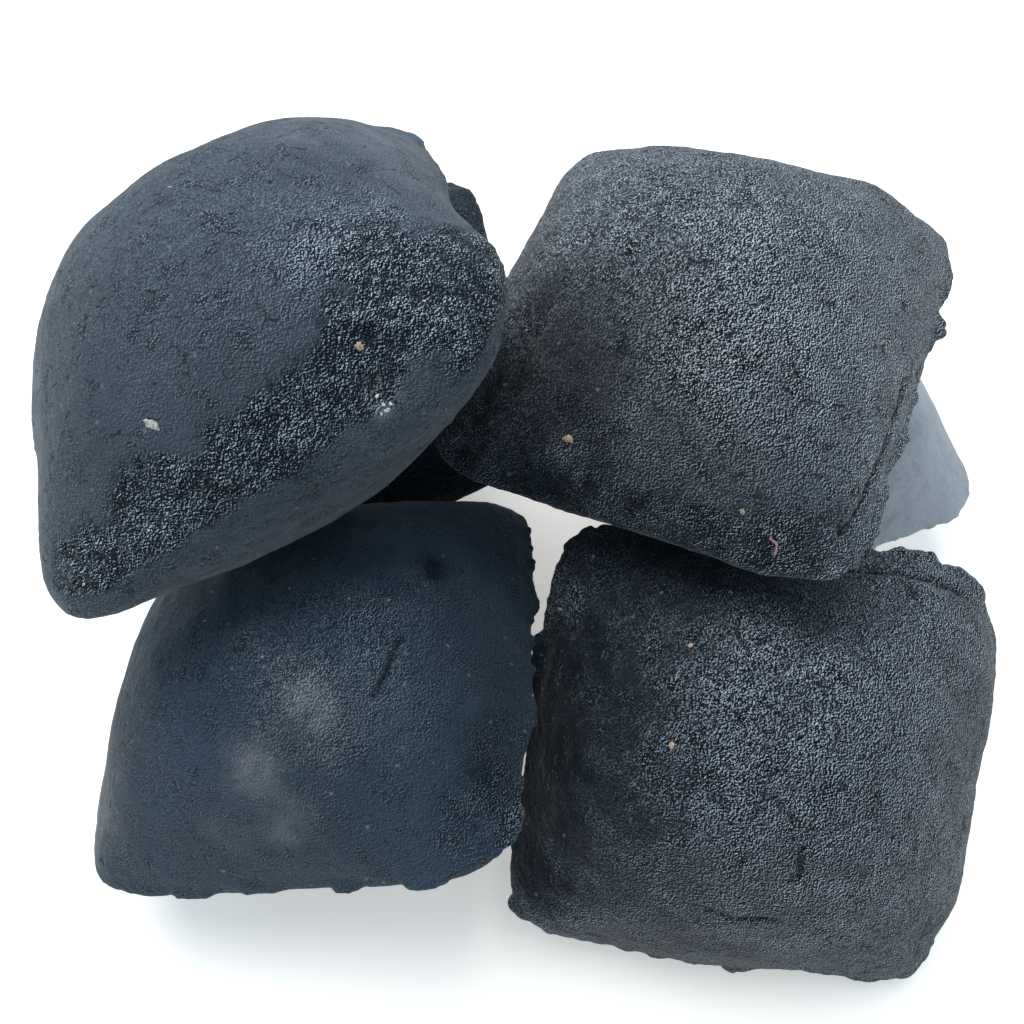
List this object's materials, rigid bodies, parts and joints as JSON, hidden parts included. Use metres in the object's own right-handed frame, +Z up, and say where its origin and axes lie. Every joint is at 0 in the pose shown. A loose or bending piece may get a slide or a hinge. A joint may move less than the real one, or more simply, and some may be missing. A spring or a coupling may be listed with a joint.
{
  "type": "heap of barbecue charcoal briquettes",
  "caption": "Small heap of pillow-shaped pressed charcoal briquettes, some lying on the ground and the others resting across them.",
  "frame": {"origin": "on the ground, under the middle of the heap's bounding box", "axes": "+Z up; +X to the right and -Y towards the viewer of the heap's front; metres"},
  "size_m": [0.1208, 0.1052, 0.0698],
  "materials": {
    "pressed_charcoal": "matte, fine-grained, with pale flecks"
  },
  "bodies": {
    "rear_centre_briquette": {"rear_centre_briquette": "pressed_charcoal"},
    "rear_right_briquette": {"rear_right_briquette": "pressed_charcoal"},
    "front_left_briquette": {"front_left_briquette": "pressed_charcoal"},
    "front_right_briquette": {"front_right_briquette": "pressed_charcoal"},
    "top_left_briquette": {"top_left_briquette": "pressed_charcoal"},
    "top_right_briquette": {"top_right_briquette": "pressed_charcoal"}
  },
  "joints": [
    {"name": "lift_top_left", "type": "slide", "parent": "rear_centre_briquette", "child": "top_left_briquette", "axis": [0, 0, 1], "range_m": [0, 0.06]},
    {"name": "lift_top_right", "type": "slide", "parent": "rear_centre_briquette", "child": "top_right_briquette", "axis": [0.5, 0, 0.866], "range_m": [0, 0.06]},
    {"name": "pull_front_left", "type": "slide", "parent": "rear_centre_briquette", "child": "front_left_briquette", "axis": [-0.5, -0.866, 0], "range_m": [0, 0.06]},
    {"name": "pull_front_right", "type": "slide", "parent": "rear_centre_briquette", "child": "front_right_briquette", "axis": [0.5, -0.866, 0], "range_m": [0, 0.06]},
    {"name": "pull_rear_right", "type": "slide", "parent": "rear_centre_briquette", "child": "rear_right_briquette", "axis": [0.8, 0.6, 0], "range_m": [0, 0.06]}
  ]
}
